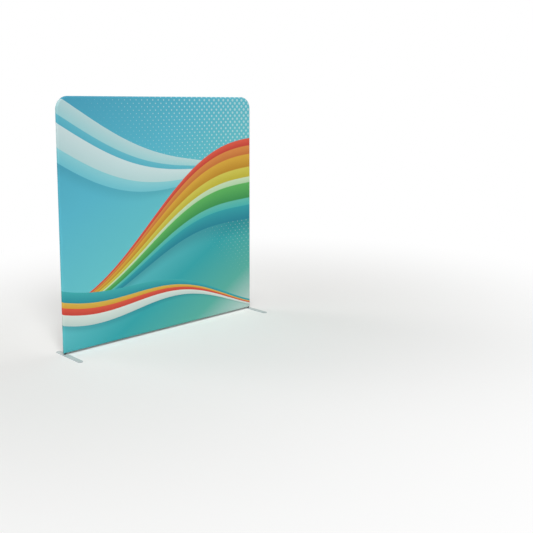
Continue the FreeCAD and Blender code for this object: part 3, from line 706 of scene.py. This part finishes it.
resin = Finish("moulded_teeth", paint(40, 41, 43), 0.34)
resin.mottle(resin.noise(900.0, 2.0), (34, 35, 37), (48, 49, 51))
resin.bump(resin.noise(2600.0, 1.0), 0.00002)
for side, turn, shift in (("upper", 1, 0.0), ("lower", -1, 0.5)):
    low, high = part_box("zip_teeth_" + side)
    reach = high.z - low.z
    bm = bmesh.new()
    bmesh.ops.create_cube(bm, size=1.0)
    bmesh.ops.scale(bm, vec=(TOOTH_WIDTH, high.y - low.y, reach + TOOTH_OVERLAP), verts=bm.verts)
    for vert in bm.verts:
        if vert.co.z * turn > 0:
            vert.co.x *= TOOTH_ROOT
    rounded(bm, bm.edges[:], TOOTH_EDGE, 1)
    start = low.x + TOOTH_PITCH * (0.5 + shift)
    centre_z = (low.z + high.z) / 2 - turn * TOOTH_OVERLAP / 2
    bmesh.ops.translate(bm, vec=(start, (low.y + high.y) / 2, centre_z), verts=bm.verts)
    count = int((high.x - start) / TOOTH_PITCH)
    repeat_along(bm, TOOTH_PITCH, count - 1)
    row = new_piece("tooth_row_" + side, bm, resin, False)
    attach(row, "display")
    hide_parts("zip_teeth_" + side)


# Zip stitching. Two rows of white polyester thread, one above the teeth and one below, sewn through
# the cover's folded edges to hold them to the tapes.

STITCH_PITCH = 0.0042
STITCH_LENGTH = 0.0032
STITCH_THREAD = 0.0005
STITCH_EDGE = 0.0035
thread = Finish("sewing_thread", paint(232, 233, 233), 0.6)
thread.mottle(thread.noise(1600.0, 2.0), (214, 216, 217), (240, 240, 240))
bm = bmesh.new()
for side in (-1, 1):
    stitch = bmesh.ops.create_icosphere(bm, subdivisions=1, radius=0.5)["verts"]
    bmesh.ops.scale(bm, vec=(STITCH_LENGTH, 2 * STITCH_THREAD, 2 * STITCH_THREAD), verts=stitch)
    spot = (-zip_half, middle_y + rim, zip_z + side * (ZIP_SLOT / 2 + STITCH_EDGE))
    bmesh.ops.translate(bm, vec=spot, verts=stitch)
repeat_along(bm, STITCH_PITCH, int(2 * zip_half / STITCH_PITCH))
stitching = new_piece("zip_stitching", bm, thread)
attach(stitching, "display")


# Zip slider, pull and end stops. Die-cast zinc, barrel polished and nickelled, with fine handling
# scratches. The slider rides on the teeth and the pull hinges in its crown.

nickel = Finish("nickelled_casting", paint(204, 203, 200), 0.22, 1.0)
scratches = nickel.noise(1.0, 5.0, (700.0, 5200.0, 5200.0))
nickel.mottle(scratches, (197, 196, 193), (210, 209, 207))
nickel.shade("Roughness", nickel.span(scratches, 0.3, 0.7, 0.2, 0.31))
nickel.bump(scratches, 0.00002)
nickel.dress("zip_slider", "zip_pull", "zip_end_stops")


# Studio. A plain pale floor that fades into a white surround, and three broad soft lights: a key
# from the front and left, one from above, and a low one from behind. The camera stands left of
# the front, as far away as the photograph was taken from.

FLOOR_SIZE = 60.0
FADE_START = 0.3
FADE_END = 5.0
SURROUND_GLOW = 0.13
WHITE = (1.0, 1.0, 1.0, 1.0)
bm = bmesh.new()
bmesh.ops.create_grid(bm, x_segments=1, y_segments=1, size=FLOOR_SIZE / 2)
surround = Finish("studio_floor", paint(238, 238, 236), 0.9)
floor_x, floor_y, _ = surround.axes()
past_end = surround.work("SUBTRACT", surround.work("ABSOLUTE", floor_x), wide / 2)
beside = surround.work("POWER", surround.work("MAXIMUM", past_end, 0.0), 2.0)
before = surround.work("POWER", surround.work("SUBTRACT", floor_y, middle_y), 2.0)
far = surround.work("SQRT", surround.work("ADD", beside, before))
fade = surround.span(far, FADE_START, FADE_END, 0.0, 1.0, True)
surround.shade("Specular IOR Level", 0.1)
rays = surround.add("LightPath").outputs
seen = surround.work("MAXIMUM", rays["Is Camera Ray"], rays["Is Glossy Ray"])
seen = surround.work("MAXIMUM", seen, rays["Is Transmission Ray"])
white = surround.add("Emission", {"Color": WHITE, "Strength": 1.0})
blend = surround.add("MixShader", {0: surround.work("MULTIPLY", fade, seen)})
surround.feed(blend.inputs[1], surround.shader.outputs[0])
surround.feed(blend.inputs[2], white.outputs[0])
surround.feed(surround.tree.nodes["Material Output"].inputs["Surface"], blend.outputs[0])
floor = new_piece("studio_floor", bm, surround)

world = bpy.data.worlds.new("studio_surround")
bpy.context.scene.world = world
world.use_nodes = True
sky = world.node_tree
glow = sky.nodes["Background"]
glow.inputs["Color"].default_value = WHITE
glow.inputs["Strength"].default_value = SURROUND_GLOW
clear = sky.nodes.new("ShaderNodeBackground")
clear.inputs["Color"].default_value = WHITE
clear.inputs["Strength"].default_value = 1.0
path = sky.nodes.new("ShaderNodeLightPath").outputs
camera_or_gloss = sky.nodes.new("ShaderNodeMath")
camera_or_gloss.operation = "MAXIMUM"
sky.links.new(path["Is Camera Ray"], camera_or_gloss.inputs[0])
sky.links.new(path["Is Glossy Ray"], camera_or_gloss.inputs[1])
seen_directly = sky.nodes.new("ShaderNodeMath")
seen_directly.operation = "MAXIMUM"
sky.links.new(camera_or_gloss.outputs[0], seen_directly.inputs[0])
sky.links.new(path["Is Transmission Ray"], seen_directly.inputs[1])
either = sky.nodes.new("ShaderNodeMixShader")
sky.links.new(seen_directly.outputs[0], either.inputs[0])
sky.links.new(glow.outputs[0], either.inputs[1])
sky.links.new(clear.outputs[0], either.inputs[2])
sky.links.new(either.outputs[0], sky.nodes["World Output"].inputs["Surface"])


def soft_light(name, bearing, height, spread, strength):
    """A broad even light; bearing is round from the front towards the left, in degrees."""
    lamp = bpy.data.lights.new(name, "SUN")
    lamp.angle = math.radians(spread)
    lamp.energy = strength
    light = bpy.data.objects.new(name, lamp)
    light.rotation_euler = (math.radians(90 - height), 0.0, math.radians(-bearing))
    bpy.context.scene.collection.objects.link(light)


soft_light("key_light", 29.0, 40.0, 24.0, 2.0)
soft_light("top_light", 36.0, 75.0, 20.0, 1.0)
soft_light("back_light", 150.0, 6.0, 30.0, 1.7)

CAMERA_YAW = 0.7686
CAMERA_PITCH = 0.1277
lens = bpy.data.cameras.new("camera")
lens.sensor_width = 36.0
lens.lens = 51.284
lens.shift_x = 0.02166
lens.shift_y = -0.12329
lens.clip_end = 200.0
camera = bpy.data.objects.new("camera", lens)
camera.location = (-4.558, middle_y - 6.0141, 2.2774)
camera.rotation_euler = (math.pi / 2 - CAMERA_PITCH, 0.0, -CAMERA_YAW)
bpy.context.scene.collection.objects.link(camera)
bpy.context.scene.camera = camera
bpy.context.scene.view_settings.view_transform = "Standard"
